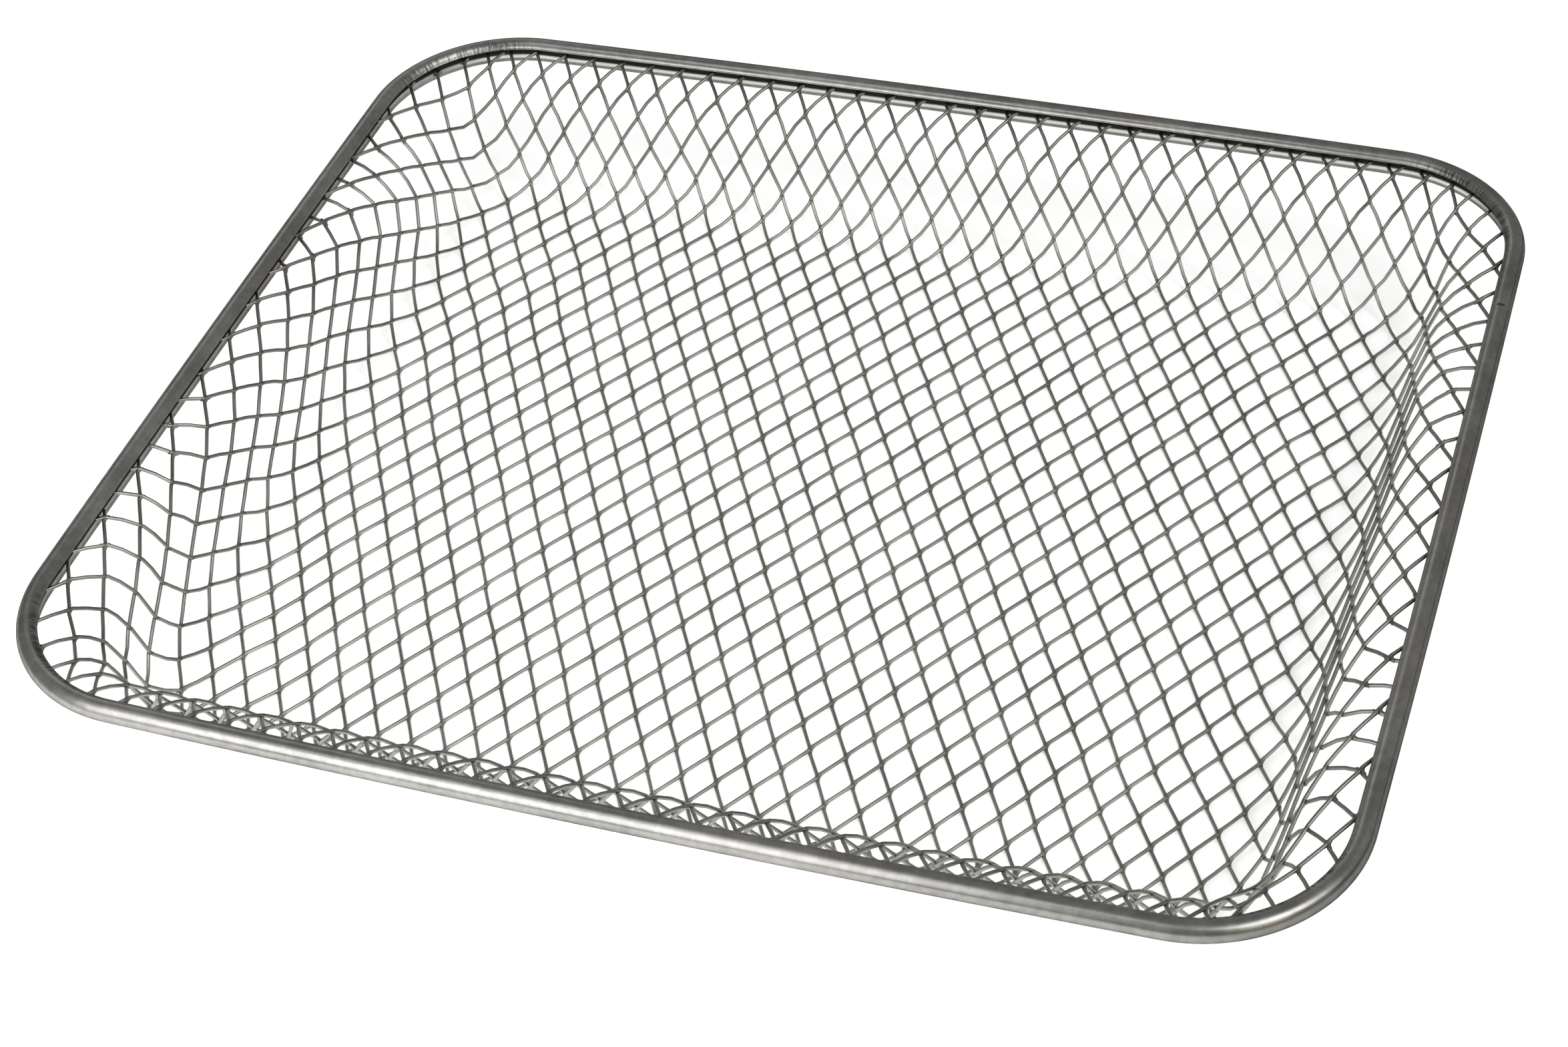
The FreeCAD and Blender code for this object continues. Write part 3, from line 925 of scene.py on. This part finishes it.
class NodeGroup(Tree):
    """A geometry node tree with named inputs."""

    def __init__(self, name: str, inputs: dict[str, str]) -> None:
        """Start the tree.

        Args:
            name: The tree's name.
            inputs: The socket type of each named input besides the geometry.
        """
        super().__init__(bpy.data.node_groups.new(name, "GeometryNodeTree"))
        face = self.tree.interface
        face.new_socket("Geometry", in_out="INPUT", socket_type="NodeSocketGeometry")
        face.new_socket("Geometry", in_out="OUTPUT", socket_type="NodeSocketGeometry")
        for label, kind in inputs.items():
            face.new_socket(label, in_out="INPUT", socket_type=kind)
        self.given = self.add("NodeGroupInput", {}, {}).outputs

    def finish(self, geometry: bpy.types.NodeSocket, material: bpy.types.NodeSocket) -> None:
        """End the tree with real, material-bearing geometry."""
        real = self.node("GeometryNodeRealizeInstances", {}, {"Geometry": geometry})
        dressed = self.node("GeometryNodeSetMaterial", {}, {"Geometry": real, "Material": material})
        self.add("NodeGroupOutput", {}, {"Geometry": dressed})

    def run_on(
        self, piece: bpy.types.Object, values: dict[str, object], name: str
    ) -> bpy.types.Object:
        """Run the tree on an object and return the result as a plain mesh object.

        Args:
            piece: What the tree starts from. It is removed.
            values: The value of each named input.
            name: The name of the result.

        Returns:
            The new object.
        """
        modifier = piece.modifiers.new("weave", "NODES")
        modifier.node_group = self.tree
        for item in self.tree.interface.items_tree:
            if item.item_type == "SOCKET" and item.in_out == "INPUT" and item.name in values:
                modifier[item.identifier] = values[item.name]
        graph = bpy.context.evaluated_depsgraph_get()
        mesh = bpy.data.meshes.new_from_object(piece.evaluated_get(graph), depsgraph=graph)
        piece.modifiers.remove(modifier)
        bpy.data.objects.remove(piece)
        made = bpy.data.objects.new(name, mesh)
        bpy.context.scene.collection.objects.link(made)
        return made


@dataclass
class Weave:
    """One family's wires, pressed onto those of the other family at every crossing.

    Args:
        net: The draped net.
        family: Whose wires they are.
        diameter: The wire's thickness.
        layer: How far the wire's middle lies off the mid-surface.
        jog: How far a wire steps sideways at a crossing, to each side.
        waver: How unevenly the net lies.
        waves: How many times a metre it wavers.
        fillet: How far from a crossing its rounding starts.
        fillet_runs: How many runs a rounding is divided into.
        sides: How many sides stand for the round wire.
        seed: What the unevenness starts from, the same for both families.
    """

    net: Net
    family: Family
    diameter: float = 1.02
    layer: float = 0.32
    jog: float = 0.2
    waver: float = 1.0
    waves: float = 42.0
    fillet: float = 1.45
    fillet_runs: int = 4
    sides: int = 7
    seed: int = 4

    def _lines(self) -> bpy.types.Object:
        """Return the wires and fillets as plain lines that carry what moves their stations."""
        fillets = self.net.fillets(self.family, self.fillet, self.fillet_runs)
        strands = self.net.strands(self.family) + fillets
        points = [point * MM for strand in strands for point in strand.points]
        edges = []
        first = 0
        for strand in strands:
            edges += [(n, n + 1) for n in range(first, first + len(strand.points) - 1)]
            first += len(strand.points)
        mesh = bpy.data.meshes.new(f"{self.family.value}_lines")
        mesh.from_pydata(points, edges, [])
        for name, values in (
            ("lift", [value for strand in strands for value in strand.lifts]),
            ("knot", [value for strand in strands for value in strand.knots]),
        ):
            mesh.attributes.new(name, "FLOAT", "POINT").data.foreach_set("value", values)
        for name, vectors in (
            ("off_surface", [n for strand in strands for n in strand.normals]),
            ("shift", [shift for strand in strands for shift in strand.shifts]),
        ):
            numbers = [number for vector in vectors for number in vector]
            mesh.attributes.new(name, "FLOAT_VECTOR", "POINT").data.foreach_set("vector", numbers)
        piece = bpy.data.objects.new(f"{self.family.value}_lines", mesh)
        bpy.context.scene.collection.objects.link(piece)
        return piece

    def _tree(self) -> NodeGroup:
        """Return the node tree that lays the lines in their layer and rounds them into wires."""
        group = NodeGroup(
            f"{self.family.value}_weave",
            {
                "Radius": "NodeSocketFloat",
                "Layer": "NodeSocketFloat",
                "Jog": "NodeSocketFloat",
                "Waver": "NodeSocketFloat",
                "Waves": "NodeSocketFloat",
                "Sides": "NodeSocketInt",
                "Seed": "NodeSocketFloat",
                "Steel": "NodeSocketMaterial",
            },
        )
        given = group.given
        named = "GeometryNodeInputNamedAttribute"
        lift = group.node(named, {"data_type": "FLOAT"}, {"Name": "lift"})
        normal = group.node(named, {"data_type": "FLOAT_VECTOR"}, {"Name": "off_surface"})
        shift = group.node(named, {"data_type": "FLOAT_VECTOR"}, {"Name": "shift"})
        maths = "ShaderNodeVectorMath"
        rise = group.node("ShaderNodeMath", {"operation": "MULTIPLY"}, {0: lift, 1: given["Layer"]})
        raised = group.node(maths, {"operation": "SCALE"}, {0: normal, "Scale": rise})
        stepped = group.node(maths, {"operation": "SCALE"}, {0: shift, "Scale": given["Jog"]})
        place = group.node("GeometryNodeInputPosition", {}, {})
        chance = group.node(
            "ShaderNodeTexNoise",
            {"noise_dimensions": "4D"},
            {"Vector": place, "W": given["Seed"], "Scale": given["Waves"], "Detail": 1.0},
            "Color",
        )
        centred = group.node(maths, {"operation": "SUBTRACT"}, {0: chance, 1: (0.5, 0.5, 0.5)})
        level = group.node(maths, {"operation": "MULTIPLY"}, {0: centred, 1: (1.0, 1.0, 0.0)})
        wavered = group.node(maths, {"operation": "SCALE"}, {0: level, "Scale": given["Waver"]})
        offset = group.node(maths, {"operation": "ADD"}, {0: raised, 1: stepped})
        offset = group.node(maths, {"operation": "ADD"}, {0: offset, 1: wavered})
        moved = group.node(
            "GeometryNodeSetPosition", {}, {"Geometry": given["Geometry"], "Offset": offset}
        )
        lines = group.node("GeometryNodeMeshToCurve", {}, {"Mesh": moved})
        circle = {"Resolution": given["Sides"], "Radius": given["Radius"]}
        ring = group.node("GeometryNodeCurvePrimitiveCircle", {}, circle)
        wires = group.node(
            "GeometryNodeCurveToMesh", {}, {"Curve": lines, "Profile Curve": ring, "Fill Caps": True}
        )
        shaded = group.node("GeometryNodeSetShadeSmooth", {}, {"Geometry": wires, "Shade Smooth": True})
        group.finish(shaded, given["Steel"])
        return group

    def build(self, steel: bpy.types.Material) -> bpy.types.Object:
        """Make the family's wires.

        Args:
            steel: The wires' material.

        Returns:
            The wires, in place.
        """
        values = {
            "Radius": self.diameter / 2 * MM,
            "Layer": self.layer * MM,
            "Jog": self.jog * MM,
            "Waver": self.waver * MM,
            "Waves": self.waves,
            "Sides": self.sides,
            "Seed": float(self.seed),
            "Steel": steel,
        }
        piece = self._tree().run_on(self._lines(), values, f"{self.family.value}_weave")
        return ride_and_report(piece, f"{self.family.value}_wires")


# Studio


@dataclass(frozen=True)
class SoftBox:
    """A rectangular studio lamp.

    Args:
        name: What the lamp is called.
        place: Where its middle is, in metres.
        faces: The point that it faces.
        width: Its width in metres.
        height: Its height in metres.
        radiance: How bright it looks, where 1 is white.
        tint: The colour of its light.
    """

    name: str
    place: tuple[float, float, float]
    faces: tuple[float, float, float]
    width: float
    height: float
    radiance: float
    tint: Colour = (1.0, 1.0, 1.0)

    def build(self) -> None:
        """Put the lamp in the scene, out of the camera's sight."""
        lamp = bpy.data.lights.new(self.name, "AREA")
        lamp.shape = "RECTANGLE"
        lamp.size = self.width
        lamp.size_y = self.height
        lamp.energy = 4 * self.width * self.height * self.radiance
        lamp.color = self.tint
        item = bpy.data.objects.new(self.name, lamp)
        item.location = self.place
        back = Vector(self.place) - Vector(self.faces)
        item.rotation_euler = back.to_track_quat("Z", "Y").to_euler()
        item.visible_camera = False
        bpy.context.scene.collection.objects.link(item)


@dataclass(frozen=True)
class Studio:
    """The pale floor, the light and the camera.

    Args:
        camera_place: Where the camera stands, in metres.
        camera_turn: Its azimuth, elevation and roll, in radians.
        lens: Its focal length for a 36 mm wide picture, in millimetres.
        daylight: Strength of the light from all round, where 1 is white.
        floor_glow: What the camera and the steel see the floor gain, to show it white.
        lamps: The soft boxes.
    """

    camera_place: tuple[float, float, float] = (0.222654, -0.563870, 0.553934)
    camera_turn: tuple[float, float, float] = (0.388314788, 0.742780159, -0.0975387)
    lens: float = 71.264
    daylight: float = 0.26
    floor_glow: float = 0.44
    lamps: tuple[SoftBox, ...] = (
        SoftBox(
            "front_soft_box", (-0.155, -0.358, 0.218), (-0.13, -0.145, 0.035),
            0.36, 0.27, 2.5, (1, 0.96, 1),
        ),
        SoftBox("top_soft_box", (-1.1, -1.0, 3.7), (0, 0, 0), 2.0, 0.22, 4.6),
        SoftBox("right_soft_box", (2.34, -0.90, 3.1), (0, 0, 0), 2.4, 2.4, 2.7),
        SoftBox("warm_soft_box", (2.78, -2.17, 1.88), (0, 0, 0), 1.3, 1.8, 1.1, (1, 0.78, 0.60)),
        SoftBox("back_soft_box", (-1.8, 2.45, 1.8), (0, 0, 0), 1.2, 0.9, 0.6),
    )

    def build(self) -> None:
        """Set up the floor, the world, the lamps and the camera."""
        self._floor()
        self._world()
        for lamp in self.lamps:
            lamp.build()
        self._camera()
        bpy.context.scene.view_settings.view_transform = "Standard"

    def _floor(self) -> None:
        """Lay a large white floor level with the underside, 8 m a side."""
        half = 4.0
        mesh = bpy.data.meshes.new("floor")
        corners = [(-half, -half, 0), (half, -half, 0), (half, half, 0), (-half, half, 0)]
        mesh.from_pydata(corners, [], [(0, 1, 2, 3)])
        white = bpy.data.materials.new("white_floor")
        white.use_nodes = True
        shader = next(n for n in white.node_tree.nodes if n.type == "BSDF_PRINCIPLED")
        shader.inputs["Base Color"].default_value = (1.0, 1.0, 1.0, 1.0)
        shader.inputs["Roughness"].default_value = 1.0
        shader.inputs["Specular IOR Level"].default_value = 0.0
        shader.inputs["Emission Color"].default_value = (1.0, 1.0, 1.0, 1.0)
        tree = Tree(white.node_tree)
        tree.feed(shader.inputs["Emission Strength"], self._seen(tree) * self.floor_glow)
        mesh.materials.append(white)
        floor = bpy.data.objects.new("floor", mesh)
        bpy.context.scene.collection.objects.link(floor)

    def _world(self) -> None:
        """Light the scene evenly from all round."""
        world = bpy.data.worlds.new("studio")
        bpy.context.scene.world = world
        world.use_nodes = True
        sky = next(n for n in world.node_tree.nodes if n.type == "BACKGROUND")
        sky.inputs["Color"].default_value = (1.0, 1.0, 1.0, 1.0)
        sky.inputs["Strength"].default_value = self.daylight

    @staticmethod
    def _seen(tree: Tree) -> Value:
        """Return 1 for what the camera sees, itself or in steel or glass, and 0 for other light."""
        kinds = ("Is Camera Ray", "Is Glossy Ray", "Is Transmission Ray")
        rays = (tree.node("ShaderNodeLightPath", {}, {}, kind) for kind in kinds)
        seen, mirrored, through = (Value(tree, ray) for ray in rays)
        return seen | mirrored | through

    def _camera(self) -> None:
        """Place the camera where the photograph was taken from."""
        azimuth, elevation, roll = self.camera_turn
        level = math.cos(elevation)
        back = Vector((math.sin(azimuth) * level, -math.cos(azimuth) * level, math.sin(elevation)))
        right = Vector((0, 0, 1)).cross(back).normalized()
        up = back.cross(right)
        across = math.cos(roll) * right + math.sin(roll) * up
        upright = -math.sin(roll) * right + math.cos(roll) * up
        lens = bpy.data.cameras.new("camera")
        lens.sensor_fit = "HORIZONTAL"
        lens.sensor_width = 36.0
        lens.lens = self.lens
        lens.clip_start = 0.01
        camera = bpy.data.objects.new("camera", lens)
        turn = Matrix((across, upright, back)).transposed().to_4x4()
        camera.matrix_world = Matrix.Translation(self.camera_place) @ turn
        bpy.context.scene.collection.objects.link(camera)
        bpy.context.scene.camera = camera


def main() -> None:
    """Build the basket's pieces and the studio."""
    line = RimLine()
    net = Net(Bowl(line))
    Rim(line).build(RimSteel().material())
    wire_steel = WireSteel().material()
    for family in Family:
        Weave(net, family).build(wire_steel)
    Studio().build()


if __name__ == "__main__":
    main()
